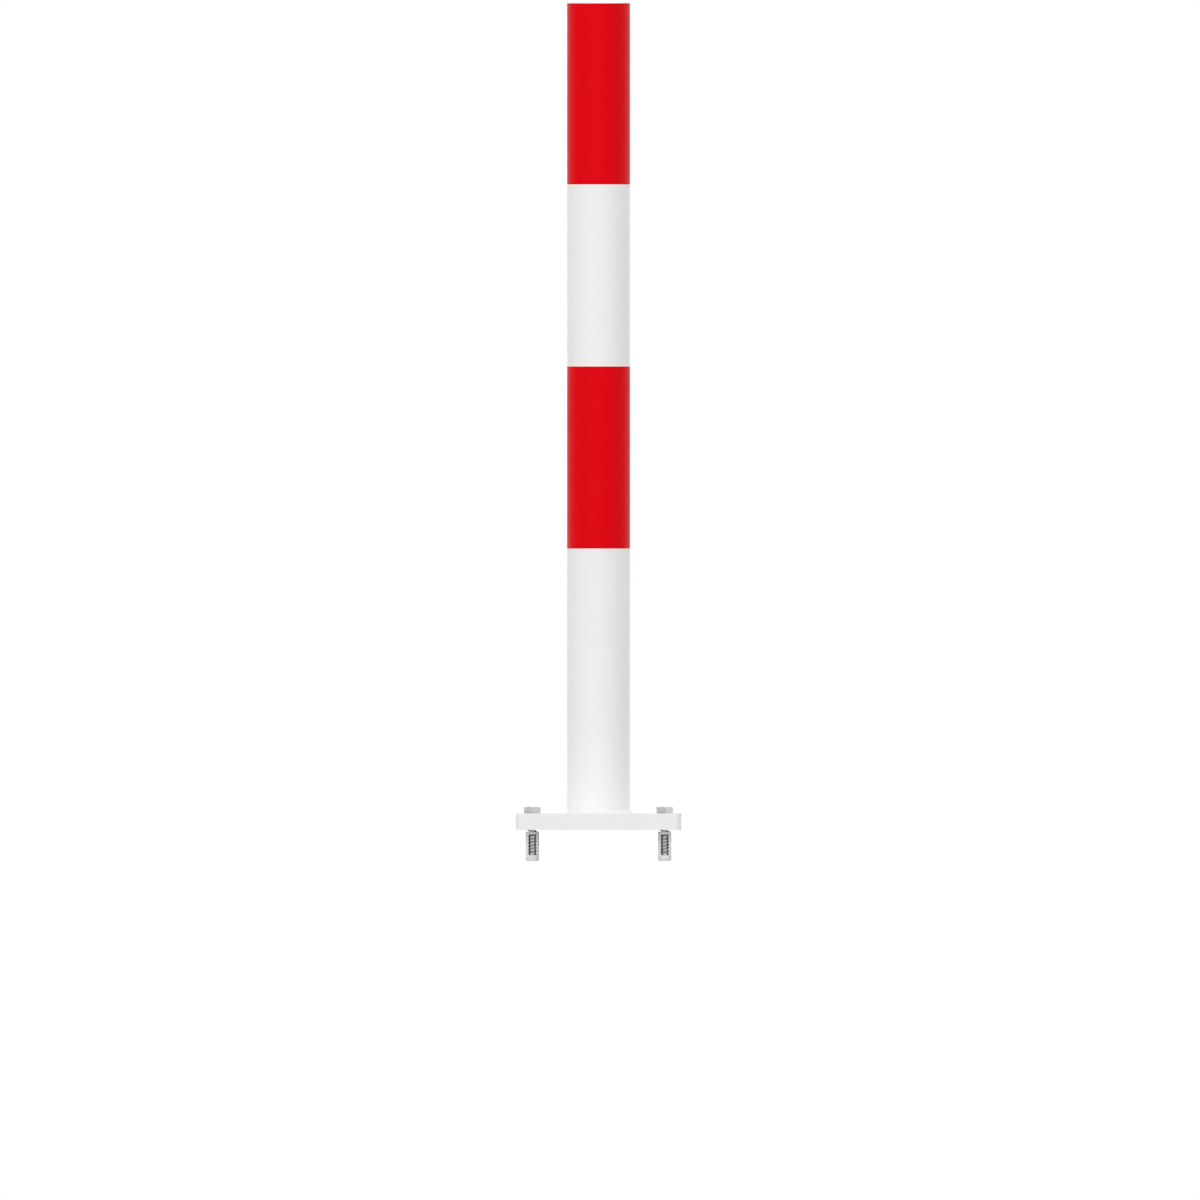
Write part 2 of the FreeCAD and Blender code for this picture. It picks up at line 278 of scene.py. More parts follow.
def open_or_loose(bm: BMesh) -> list[BMEdge]:
    """Edges with one face or none."""
    return [edge for edge in bm.edges if len(edge.link_faces) < 2]


def verts_of(elements: Iterable[Element]) -> list[BMVert]:
    """Vertices among the elements that an operator made."""
    return [element for element in elements if isinstance(element, BMVert)]


def grow_ring(bm: BMesh, edges: list[BMEdge], radius: float | None, height: float) -> list[BMEdge]:
    """Extrudes a ring of edges to a new distance from the Z axis and a new height.

    Args:
        bm: the mesh.
        edges: the ring.
        radius: the new distance, or None if each vertex keeps its own.
        height: the new height.

    Returns:
        The new ring.
    """
    grown = bmesh.ops.extrude_edge_only(bm, edges=edges)["geom"]
    for vert in verts_of(grown):
        if radius is not None:
            set_radius(vert, radius)
        vert.co.z = height
    return [element for element in grown if isinstance(element, BMEdge)]


@dataclass
class Piece:
    """A finished mesh that becomes one object of the scene.

    Edges that turn by more than its crease, in degrees, stay sharp.
    """

    name: str
    mesh: BMesh
    material: Material
    node: Node
    slot: Slot
    crease: float = 32.0
    even_shading: bool = False

    def place(self) -> None:
        """Turns the mesh into an object that rides on the body and stands for its solid."""
        bm = self.mesh
        bmesh.ops.remove_doubles(bm, verts=bm.verts, dist=MERGE_DISTANCE)
        bmesh.ops.recalc_face_normals(bm, faces=bm.faces)
        for face in bm.faces:
            face.smooth = True
        for edge in bm.edges:
            edge.smooth = edge.calc_face_angle(0.0) < math.radians(self.crease)
        leaks = sum(1 for edge in bm.edges if not edge.is_manifold)
        bmesh.ops.scale(bm, vec=(MM, MM, MM), verts=bm.verts)
        data = bpy.data.meshes.new(self.name)
        bm.to_mesh(data)
        bm.free()
        data.materials.append(self.material)
        thing = bpy.data.objects.new(self.name, data)
        bpy.context.scene.collection.objects.link(thing)
        if self.even_shading:
            shading = thing.modifiers.new("even_shading", "WEIGHTED_NORMAL")
            shading.keep_sharp = True
        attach(thing, "root")
        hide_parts(self.node.value)
        triangles = sum(len(polygon.vertices) - 2 for polygon in data.polygons)
        log.info("%s: %d triangles, %d open edges", self.name, triangles, leaks)


# Finishes


class Recipe:
    """A material under construction: adds nodes and joins them."""

    def __init__(self, name: str) -> None:
        """Starts an empty material with a Principled shader.

        Args:
            name: the material's name.
        """
        self.material = bpy.data.materials.new(name)
        self.material.use_nodes = True
        self.tree = self.material.node_tree
        self.tree.nodes.clear()
        output = self.add("ShaderNodeOutputMaterial")
        self.shader = self.add("ShaderNodeBsdfPrincipled")
        self.feed(output, {"Surface": self.shader.outputs["BSDF"]})
        self.place = self.add("ShaderNodeTexCoord").outputs["Object"]

    def feed(self, node: bpy.types.Node, inputs: Inputs) -> None:
        """Gives a node its inputs.

        Args:
            node: the node.
            inputs: its sockets, each with a plain value or with the socket that feeds it.
        """
        for key, value in inputs.items():
            if isinstance(value, NodeSocket):
                self.tree.links.new(value, node.inputs[key])
            else:
                node.inputs[key].default_value = value

    def add(self, kind: str, inputs: Inputs | None = None, **settings: object) -> bpy.types.Node:
        """Adds a node.

        Args:
            kind: the node's type.
            inputs: its inputs.
            settings: its other properties.

        Returns:
            The node.
        """
        node = self.tree.nodes.new(kind)
        for key, value in settings.items():
            setattr(node, key, value)
        self.feed(node, inputs or {})
        return node

    def shade(self, inputs: Inputs) -> None:
        """Gives the shader its inputs."""
        self.feed(self.shader, inputs)

    def cloud(self, scale: float, detail: float = 2.0) -> NodeSocket:
        """Adds a soft noise.

        Args:
            scale: how many features there are in a metre.
            detail: how many finer layers it has.

        Returns:
            The noise's value.
        """
        texture = self.add("ShaderNodeTexNoise", {"Vector": self.place, "Scale": scale, "Detail": detail})
        return texture.outputs["Fac"]

    def between(self, value: NodeSocket, low: float, high: float) -> NodeSocket:
        """Spreads a value that runs from 0 to 1 over another range.

        Args:
            value: the value.
            low: what 0 becomes.
            high: what 1 becomes.

        Returns:
            The new value.
        """
        node = self.add("ShaderNodeMapRange", {"Value": value, "To Min": low, "To Max": high})
        return node.outputs["Result"]

    def product(self, first: NodeSocket, second: NodeSocket) -> NodeSocket:
        """Multiplies two values.

        Args:
            first: a value.
            second: another value.

        Returns:
            Their product.
        """
        node = self.add("ShaderNodeMath", {0: first, 1: second}, operation="MULTIPLY")
        return node.outputs["Value"]

    def tint(self, factor: NodeSocket, first: Colour, second: Colour) -> None:
        """Colours the surface with a mix of two colours.

        Args:
            factor: how much of the second colour shows.
            first: a linear colour.
            second: a linear colour.
        """
        mix = self.add("ShaderNodeMix", {"Factor": factor}, data_type="RGBA")
        # The colour sockets share their names with the others of this node, so they are picked by type
        for socket in mix.inputs:
            if socket.type == "RGBA":
                socket.default_value = (*(first if socket.name == "A" else second), 1.0)
        self.shade({"Base Color": next(socket for socket in mix.outputs if socket.type == "RGBA")})

    def relief(self, heights: list[tuple[NodeSocket, float]]) -> None:
        """Stacks bumps on the shader's normal.

        Args:
            heights: pairs of a height from 0 to 1 and what 1 stands for, in metres.
        """
        normal = None
        for height, distance in heights:
            inputs = {"Height": height, "Distance": distance, "Strength": 1.0}
            if normal is not None:
                inputs["Normal"] = normal
            normal = self.add("ShaderNodeBump", inputs).outputs["Normal"]
        self.shade({"Normal": normal})


@dataclass(frozen=True)
class PowderCoat:
    """Smooth white powder coat with a fine orange peel, over the upright streaks of the plate's cut rim."""

    colour: Colour = (0.86, 0.86, 0.85)
    thin_colour: Colour = (0.82, 0.822, 0.815)
    thin_scale: float = 14.0
    thin_span: tuple[float, float] = (-0.4, 1.0)
    shine: float = 0.35
    roughness: tuple[float, float] = (0.36, 0.48)
    roughness_scale: float = 90.0
    peel_scale: float = 520.0
    peel_height: float = 0.00004
    flow_scale: float = 110.0
    flow_height: float = 0.00009
    streak_scale: float = 650.0
    streak_stretch: float = 0.04
    streak_height: float = 0.00005
    streaks_below: float = 0.019
    streak_fade: float = 0.002

    def material(self) -> Material:
        """Mixes the coat.

        Returns:
            The finish of the post and the plate.
        """
        recipe = Recipe(Slot.COAT.value)
        thinness = recipe.between(recipe.cloud(self.thin_scale, detail=3.0), *self.thin_span)
        recipe.tint(thinness, self.colour, self.thin_colour)
        recipe.shade({
            "Roughness": recipe.between(recipe.cloud(self.roughness_scale), *self.roughness),
            "Specular IOR Level": self.shine,
        })
        recipe.relief([
            (self.rim_streaks(recipe), self.streak_height),
            (recipe.cloud(self.flow_scale, detail=0.0), self.flow_height),
            (recipe.cloud(self.peel_scale, detail=1.0), self.peel_height),
        ])
        return recipe.material

    def rim_streaks(self, recipe: Recipe) -> NodeSocket:
        """Draws the upright streaks, which fade out at the rim's upper edge.

        Args:
            recipe: the coat under construction.

        Returns:
            The streaks' height.
        """
        stretched = recipe.add(
            "ShaderNodeMapping", {"Vector": recipe.place, "Scale": (1.0, 1.0, self.streak_stretch)}
        )
        streaks = recipe.add("ShaderNodeTexNoise", {
            "Vector": stretched.outputs["Vector"], "Scale": self.streak_scale, "Detail": 1.0,
        })
        height = recipe.add("ShaderNodeSeparateXYZ", {"Vector": recipe.place}).outputs["Z"]
        on_rim = recipe.add("ShaderNodeMapRange", {
            "Value": height,
            "From Min": self.streaks_below,
            "From Max": self.streaks_below - self.streak_fade,
        })
        return recipe.product(streaks.outputs["Fac"], on_rim.outputs["Result"])


@dataclass(frozen=True)
class BeadedFilm:
    """Red film with fine glass beads under a smooth skin."""

    colour: Colour = (0.768, 0.0, 0.0056)
    bead_colour: Colour = (0.70, 0.0, 0.004)
    shine: float = 0.07
    roughness: tuple[float, float] = (0.4, 0.52)
    roughness_scale: float = 40.0
    skin_scale: float = 70.0
    skin_height: float = 0.00003
    bead_scale: float = 2600.0
    bead_height: float = 0.000006

    def material(self) -> Material:
        """Mixes the film.

        Returns:
            The finish of the bands.
        """
        recipe = Recipe(Slot.FILM.value)
        beads = recipe.add("ShaderNodeTexVoronoi", {"Vector": recipe.place, "Scale": self.bead_scale})
        recipe.tint(beads.outputs["Color"], self.colour, self.bead_colour)
        recipe.shade({
            "Roughness": recipe.between(recipe.cloud(self.roughness_scale, detail=3.0), *self.roughness),
            "Specular IOR Level": self.shine,
        })
        recipe.relief([
            (recipe.cloud(self.skin_scale, detail=0.0), self.skin_height),
            (beads.outputs["Distance"], self.bead_height),
        ])
        return recipe.material


@dataclass(frozen=True)
class ZincPlating:
    """Bright zinc on forged steel, with turning marks round the screw's axis."""

    colour: Colour = (0.55, 0.56, 0.575)
    dull_colour: Colour = (0.4, 0.405, 0.41)
    dull_scale: float = 260.0
    dull_span: tuple[float, float] = (-0.3, 1.1)
    roughness: tuple[float, float] = (0.3, 0.46)
    roughness_scale: float = 420.0
    grain_scale: float = 700.0
    grain_height: float = 0.00002
    mark_scale: float = 2.2
    mark_waver: float = 0.6
    mark_height: float = 0.00001
    marks_above: float = 7.99

    def material(self) -> Material:
        """Mixes the plating.

        Returns:
            The finish of the screws.
        """
        recipe = Recipe(Slot.ZINC.value)
        dullness = recipe.between(recipe.cloud(self.dull_scale, detail=4.0), *self.dull_span)
        recipe.tint(dullness, self.colour, self.dull_colour)
        recipe.shade({
            "Roughness": recipe.between(recipe.cloud(self.roughness_scale, detail=3.0), *self.roughness),
            "Metallic": 1.0,
        })
        recipe.relief([
            (recipe.cloud(self.grain_scale), self.grain_height),
            (self.turning_marks(recipe), self.mark_height),
        ])
        return recipe.material

    def turning_marks(self, recipe: Recipe) -> NodeSocket:
        """Draws rings round the screw's own axis, on the top of its head alone.

        Args:
            recipe: the plating under construction.

        Returns:
            The marks' height.
        """
        own = recipe.add("ShaderNodeAttribute", attribute_name=OWN_PLACE).outputs["Vector"]
        rings = recipe.add(
            "ShaderNodeTexWave",
            {"Vector": own, "Scale": self.mark_scale, "Distortion": self.mark_waver, "Detail": 1.0},
            wave_type="RINGS", rings_direction="Z",
        )
        height = recipe.add("ShaderNodeSeparateXYZ", {"Vector": own}).outputs["Z"]
        on_top = recipe.add("ShaderNodeMath", {0: height, 1: self.marks_above}, operation="GREATER_THAN")
        return recipe.product(rings.outputs["Fac"], on_top.outputs["Value"])


@dataclass(frozen=True)
class NaturalNylon:
    """Milky moulded nylon, lit a little from within."""

    colour: Colour = (0.86, 0.86, 0.83)
    dense_colour: Colour = (0.78, 0.78, 0.745)
    dense_scale: float = 130.0
    milkiness: float = 0.35
    glow_depth: float = 0.0012
    glow_colour: Colour = (1.0, 1.0, 0.9)
    roughness: tuple[float, float] = (0.38, 0.55)
    roughness_scale: float = 300.0
    grain_scale: float = 900.0
    grain_height: float = 0.000015

    def material(self) -> Material:
        """Mixes the nylon.

        Returns:
            The finish of the plugs.
        """
        recipe = Recipe(Slot.NYLON.value)
        recipe.tint(recipe.cloud(self.dense_scale, detail=3.0), self.colour, self.dense_colour)
        recipe.shade({
            "Roughness": recipe.between(recipe.cloud(self.roughness_scale), *self.roughness),
            "Subsurface Weight": self.milkiness,
            "Subsurface Scale": self.glow_depth,
            "Subsurface Radius": self.glow_colour,
        })
        recipe.relief([(recipe.cloud(self.grain_scale), self.grain_height)])
        return recipe.material


# The post


@dataclass
class Post:
    """The tube, the disc that closes it and the ground weld between them."""

    coat: Material
    wall: float = 2.9
    top_rounding: float = 0.8
    weld_depth: float = 1.5
    steps: int = 240
    weld_steps: int = 720
    grind_steps: int = 8
    grind_depth: float = 0.18
    grind_fullness: float = 0.6
    unevenness: float = 0.4
    uneven_scale: float = 0.16

    def __post_init__(self) -> None:
        """Reads the tube's and the disc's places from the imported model."""
        low, high = cad_box(Node.TUBE)
        self.foot, self.top, self.radius = low.z, high.z, high.x
        self.bore = self.radius - self.wall
        lid_low, lid_high = cad_box(Node.LID)
        self.lid_foot, self.lid_radius = lid_low.z, lid_high.x

    def tube(self) -> BMesh:
        """Turns the tube, with a rounded mouth and a bevel for the weld.

        Returns:
            The tube's mesh.
        """
        bm = turned([
            (self.bore, self.foot),
            (self.radius, self.foot),
            (self.radius, self.top),
            (self.bore + self.weld_depth, self.top),
            (self.bore, self.top - self.weld_depth),
        ], self.steps)
        round_off(bm, ring_edges(bm, self.radius, self.top), self.top_rounding, segments=6)
        return bm

    def lid(self) -> BMesh:
        """Turns the disc, bevelled for the weld.

        Returns:
            The disc's mesh.
        """
        inner = self.lid_radius - self.weld_depth
        return turned([
            (0.0, self.lid_foot),
            (self.lid_radius, self.lid_foot),
            (self.lid_radius, self.top - self.weld_depth),
            (inner, self.top),
            (inner * 2 / 3, self.top),
            (inner / 3, self.top),
            (0.0, self.top),
        ], self.steps, closed=False)

    def lid_weld(self) -> BMesh:
        """Turns the weld and grinds its face: a shallow, slightly uneven dip.

        Returns:
            The weld's mesh.
        """
        inner, outer = self.lid_radius - self.weld_depth, self.bore + self.weld_depth
        face = [
            (outer + (inner - outer) * step / self.grind_steps, self.top)
            for step in range(self.grind_steps + 1)
        ]
        bm = turned([
            (self.lid_radius, self.top - self.weld_depth),
            (self.bore, self.top - self.weld_depth),
            *face,
        ], self.weld_steps)
        for vert in bm.verts:
            share = (radius_of(vert) - inner) / (outer - inner)
            if vert.co.z > self.top - SNAP and SNAP < share < 1 - SNAP:
                uneven = 1 - self.unevenness + self.unevenness * noise.noise(vert.co * self.uneven_scale)
                vert.co.z -= self.grind_depth * uneven * math.sin(math.pi * share) ** self.grind_fullness
        return bm

    def build(self) -> None:
        """Makes the tube, the disc and the weld."""
        Piece("steel_tube", self.tube(), self.coat, Node.TUBE, Slot.COAT, even_shading=True).place()
        Piece("closing_disc", self.lid(), self.coat, Node.LID, Slot.COAT).place()
        Piece("disc_weld", self.lid_weld(), self.coat, Node.LID_WELD, Slot.COAT).place()


# The foot


@dataclass
class Foot:
    """The drilled base plate and the fillet weld that joins the tube to it."""

    coat: Material
    corner_rounding: float = 8.0
    corner_steps: int = 12
    edge_rounding: float = 1.0
    hole_radius: float = 7.0
    hole_rounding: float = 0.5
    hole_steps: int = 64
    vent_radius: float = 10.0
    rim_angle: float = 60.0
    rim_reach: float = 1.0
    weld_steps: int = 9
    weld_bulge: float = 0.7
    ripples: int = 186
    ripple_samples: int = 6
    ripple_depth: float = 0.16
    ripple_bow: float = 0.9
    ripple_drift: float = 0.25
    ripple_drifts: int = 23
    uneven_scale: float = 0.11
    stop_turn: float = 0.27
    stop_width: float = 0.012
    stop_depth: float = 0.3

    def __post_init__(self) -> None:
        """Reads the plate's and the weld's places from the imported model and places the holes."""
        low, high = cad_box(Node.PLATE)
        self.width, self.depth, self.height = high.x - low.x, high.y - low.y, high.z
        weld_low, weld_high = cad_box(Node.BASE_WELD)
        self.weld_foot, self.weld_reach = weld_low.z, weld_high.x
        self.tube_radius = cad_box(Node.TUBE)[1].x
        screw_holes = [(station.x, station.y, self.hole_radius) for station in Station]
        self.holes = [(0.0, 0.0, self.vent_radius), *screw_holes]

    def plate(self) -> BMesh:
        """Cuts the plate out with its holes, gives it its thickness and rounds its rims.

        Returns:
            The plate's mesh.
        """
        bm = bmesh.new()
        sheet = bmesh.ops.create_grid(bm, x_segments=1, y_segments=1, size=0.5)
        bmesh.ops.scale(bm, vec=(self.width, self.depth, 1.0), verts=sheet["verts"])
        bmesh.ops.bevel(
            bm, geom=bm.verts[:], offset=self.corner_rounding, segments=self.corner_steps, profile=0.5,
            affect="VERTICES", material=-1,
        )
        bmesh.ops.delete(bm, geom=bm.faces[:], context="FACES_ONLY")
        for x, y, radius in self.holes:
            centre = Matrix.Translation((x, y, 0.0))
            bmesh.ops.create_circle(bm, segments=self.hole_steps, radius=radius, matrix=centre)
        bmesh.ops.triangle_fill(bm, use_beauty=True, edges=bm.edges[:])
        lifted = bmesh.ops.extrude_face_region(bm, geom=bm.faces[:])["geom"]
        bmesh.ops.translate(bm, vec=(0.0, 0.0, self.height), verts=verts_of(lifted))
        bmesh.ops.recalc_face_normals(bm, faces=bm.faces)
        round_off(bm, self.rims(bm, in_holes=False), self.edge_rounding, segments=5)
        round_off(bm, self.rims(bm, in_holes=True), self.hole_rounding, segments=3)
        return bm

    def rims(self, bm: BMesh, in_holes: bool) -> list[BMEdge]:
        """Picks the sharp level edges of the plate's outline or of its holes.

        Args:
            bm: the mesh of the plate.
            in_holes: True for the holes, False for the outline.

        Returns:
            The edges.
        """
        found = []
        for edge in bm.edges:
            start, end = (vert.co for vert in edge.verts)
            middle = (start + end) / 2
            sharp = edge.calc_face_angle(0.0) > math.radians(self.rim_angle)
            near_hole = any(
                math.hypot(middle.x - x, middle.y - y) < radius + self.rim_reach
                for x, y, radius in self.holes
            )
            if abs(start.z - end.z) < SNAP and sharp and near_hole == in_holes:
                found.append(edge)
        return found

    def weld(self) -> BMesh:
        """Turns the bead and presses the ripples of its pass into it.

        Returns:
            The weld's mesh.
        """
        inner, leg = self.tube_radius, self.weld_reach - self.tube_radius
        face = []
        for step in range(self.weld_steps + 1):
            share = step / self.weld_steps
            swell = self.weld_bulge * math.sin(math.pi * share) / math.sqrt(2)
            face.append((inner + leg * share + swell, self.weld_foot + leg * (1 - share) + swell))
        bm = turned([(inner, self.weld_foot), *face], self.ripples * self.ripple_samples)
        for vert in bm.verts:
            out, up = radius_of(vert) - inner, vert.co.z - self.weld_foot
            if out + up >= leg / 2:
                sink = self.sink(vert.co, clamped((out - up + leg) / (2 * leg)))
                set_radius(vert, radius_of(vert) - sink)
                vert.co.z -= sink
        return bm

    def sink(self, place: Vector, share: float) -> float:
        """Works out how far a point of the bead's face lies under the smooth bead.

        Args:
            place: the point.
            share: where it lies across the face, from 0 at the tube to 1 at the plate.

        Returns:
            The depth of the ripples, the unevenness and the crater where the pass stopped.
        """
        body = math.sin(math.pi * share)
        turn = math.atan2(place.y, place.x) / FULL_TURN
        drift = self.ripple_drift * math.sin(FULL_TURN * turn * self.ripple_drifts)
        phase = self.ripples * turn - self.ripple_bow * body + drift
        ripple = 0.5 - 0.5 * math.cos(FULL_TURN * phase)
        uneven = 0.5 + 0.5 * noise.noise(place * self.uneven_scale)
        off_stop = (turn - self.stop_turn) / self.stop_width
        crater = self.stop_depth * math.exp(-off_stop ** 2)
        return body ** 0.5 * (self.ripple_depth * (ripple + uneven) + crater)

    def build(self) -> None:
        """Makes the plate and its weld."""
        Piece("foot_plate", self.plate(), self.coat, Node.PLATE, Slot.COAT, even_shading=True).place()
        Piece("foot_weld", self.weld(), self.coat, Node.BASE_WELD, Slot.COAT, crease=60.0).place()


# The bands


@dataclass
class Band:
    """A film sleeve whose free end laps over its start at the back."""

    name: str
    node: Node
    film: Material
    glue: float = 0.03
    thickness: float = 0.25
    lap_gap: float = 0.01
    start: float = 90.0
    lap: float = 10.0
    ramp: float = 3.0
    rows: int = 360

    def sleeve(self) -> BMesh:
        """Winds the film once round the tube and on over its own start.

        Returns:
            The sleeve's mesh.
        """
        low, high = cad_box(self.node)
        tube = cad_box(Node.TUBE)[1].x
        swept = FULL_TURN + self.lap / tube
        bm = bmesh.new()
        ends = [bm.verts.new((tube + self.glue, 0.0, height)) for height in (low.z, high.z)]
        edge = bm.edges.new(ends)
        to_start = Matrix.Rotation(math.radians(self.start), 3, "Z")
        bmesh.ops.rotate(bm, cent=ORIGIN, matrix=to_start, verts=ends)
        bmesh.ops.spin(
            bm, geom=[*ends, edge], cent=ORIGIN, axis=Z_AXIS, dvec=ORIGIN, angle=swept, steps=self.rows,
            use_merge=False,
        )
        bm.verts.index_update()
        for vert in bm.verts:
            wound = swept * (vert.index // len(ends)) / self.rows
            climbed = clamped((wound - FULL_TURN) * tube / self.ramp + 1)
            lift = (self.thickness + self.lap_gap) * (0.5 - 0.5 * math.cos(math.pi * climbed))
            set_radius(vert, tube + self.glue + lift)
        bm.normal_update()
        bm.faces.ensure_lookup_table()
        outwards = bm.faces[0].normal.dot(bm.faces[0].calc_center_median()) > 0
        bmesh.ops.solidify(bm, geom=bm.faces[:], thickness=self.thickness if outwards else -self.thickness)
        return bm

    def build(self) -> None:
        """Makes the sleeve."""
        Piece(self.name, self.sleeve(), self.film, self.node, Slot.FILM).place()


# The anchors


@dataclass
class HexScrew:
    """Hexagon-head screw with a plain shank, a coarse right-hand thread and a blunt tip.

    Its own zero height is the underside of its head.
    """

    zinc: Material
    shank_radius: float = 6.0
    shank_length: float = 20.0
    shank_overlap: float = 0.2
    length: float = 51.0
    core_radius: float = 4.5
    crest_radius: float = 5.95
    pitch: float = 3.9
    tooth_foot: float = 1.0
    tooth_crest: float = 0.15
    root_blend: float = 0.1
    crest_fall: float = 0.04
    soft_step: float = 0.03
    spare_turns: int = 3
    tip_relief: float = 0.5
    neck_radius: float = 0.6
    flats: float = 19.0
    head_height: float = 8.0
    chamfer_start: float = 9.35
    chamfer_fall: float = 0.9
    corner_rounding: float = 0.4
    top_rings: tuple[float, ...] = (6.0, 3.0, 1.0)
    turn_steps: int = 60
    side_steps: int = 16

    def tooth(self, middle: float) -> list[SectionPoint]:
        """Draws one pitch of the thread, with rounded roots.

        Args:
            middle: the height of the tooth's crest.

        Returns:
            The section from the lower root to the upper one.
        """
        rise = (self.crest_radius - self.core_radius) / (self.tooth_foot - self.tooth_crest)
        half = [
            (self.core_radius, self.pitch / 2),
            (self.core_radius, self.tooth_foot + 2 * self.root_blend),
            (self.core_radius + 2 * self.soft_step, self.tooth_foot + self.soft_step),
            (self.core_radius + self.root_blend * rise, self.tooth_foot - self.root_blend),
            (self.crest_radius - self.crest_fall, self.tooth_crest + self.soft_step),
            (self.crest_radius, self.tooth_crest - self.soft_step),
        ]
        lower = [(radius, middle - away) for radius, away in half]
        upper = [(radius, middle + away) for radius, away in reversed(half)]
        return lower + upper

    def threaded_shank(self) -> BMesh:
        """Winds the tooth up the core, runs it out in the shank and turns the tip blunt.

        Returns:
            The mesh of the shank, open at its upper end.
        """
        bm = bmesh.new()
        # The thread is wound too long at both ends and then cut to its length
        turns = math.ceil((self.length - self.shank_length) / self.pitch) + self.spare_turns
        start = -self.length - self.pitch * self.spare_turns / 2
        geometry = section_chain(bm, self.tooth(start), closed=False)
        bmesh.ops.spin(
            bm, geom=geometry, cent=ORIGIN, axis=Z_AXIS, dvec=(0.0, 0.0, self.pitch / self.turn_steps),
            angle=FULL_TURN * turns, steps=turns * self.turn_steps, use_merge=False,
        )
        bmesh.ops.remove_doubles(bm, verts=bm.verts, dist=SNAP)
        shoulder = -self.shank_length + self.shank_radius - self.core_radius
        for vert in bm.verts:
            cone = min(self.shank_radius, self.shank_radius + vert.co.z - shoulder)
            tip = self.core_radius - self.tip_relief + max(vert.co.z + self.length, 0.0)
            set_radius(vert, min(max(radius_of(vert), cone), tip))
        cut(bm, (0.0, 0.0, -self.length), (0.0, 0.0, -1.0), drop=True)
        cut(bm, (0.0, 0.0, shoulder + self.shank_overlap), Z_AXIS, drop=True)
        tip_rim = [edge for edge in open_edges(bm) if edge.verts[0].co.z < -self.length + SNAP]
        bmesh.ops.edgeloop_fill(bm, edges=tip_rim)
        neck_centre = (self.shank_radius + self.neck_radius, -self.neck_radius)
        neck = arc(neck_centre, self.neck_radius, start=150, end=90, count=3)
        for radius, height in [(self.shank_radius, -self.neck_radius), *neck]:
            grow_ring(bm, open_edges(bm), radius, height)
        return bm

    def add_head(self, bm: BMesh) -> None:
        """Builds the chamfered hexagon on top of the shank.

        Args:
            bm: the mesh of the shank, open at its upper end.
        """
        neck = open_edges(bm)
        # Each of the six sides spans 60 degrees
        ring = bmesh.ops.create_circle(bm, segments=6 * self.side_steps, radius=self.flats)["verts"]
        for vert in ring:
            off_middle = math.atan2(vert.co.y, vert.co.x) % math.radians(60) - math.radians(30)
            set_radius(vert, self.flats / 2 / math.cos(off_middle))
        under = [edge for edge in open_or_loose(bm) if edge not in neck]
        side = grow_ring(bm, under, None, self.head_height)
        corner = self.flats / math.sqrt(3)
        slope = self.chamfer_fall / (corner - self.chamfer_start)
        for vert in {vert for edge in side for vert in edge.verts}:
            vert.co.z -= slope * (radius_of(vert) - self.chamfer_start)
        top = side
        for radius in (self.chamfer_start, *self.top_rings):
            top = grow_ring(bm, top, radius, self.head_height)
        bmesh.ops.edgeloop_fill(bm, edges=top)
        upright = [
            edge for edge in bm.edges
            if abs(edge.verts[0].co.z - edge.verts[1].co.z) > self.head_height / 2
            and min(radius_of(vert) for vert in edge.verts) > corner - SNAP
        ]
        round_off(bm, upright, self.corner_rounding, segments=4)
        bmesh.ops.triangle_fill(bm, use_beauty=True, edges=open_edges(bm))

    def shape(self) -> BMesh:
        """Makes the whole screw about its own axis, and keeps each point's own place for the finish.

        Returns:
            The screw's mesh.
        """
        bm = self.threaded_shank()
        self.add_head(bm)
        layer = bm.verts.layers.float_vector.new(OWN_PLACE)
        for vert in bm.verts:
            vert[layer] = vert.co
        return bm

    def build(self, station: Station, height: float) -> None:
        """Stands the screw in its hole.

        Args:
            station: the corner of the plate.
            height: where the underside of the head lies.
        """
        bm = self.shape()
        stand = Matrix.Translation((station.x, station.y, height)) @ Matrix.Rotation(station.turn, 4, "Z")
        bmesh.ops.transform(bm, matrix=stand, verts=bm.verts)
        name = f"hex_screw_{station.name.lower()}"
        Piece(name, bm, self.zinc, Node.SCREWS, Slot.ZINC, even_shading=True).place()


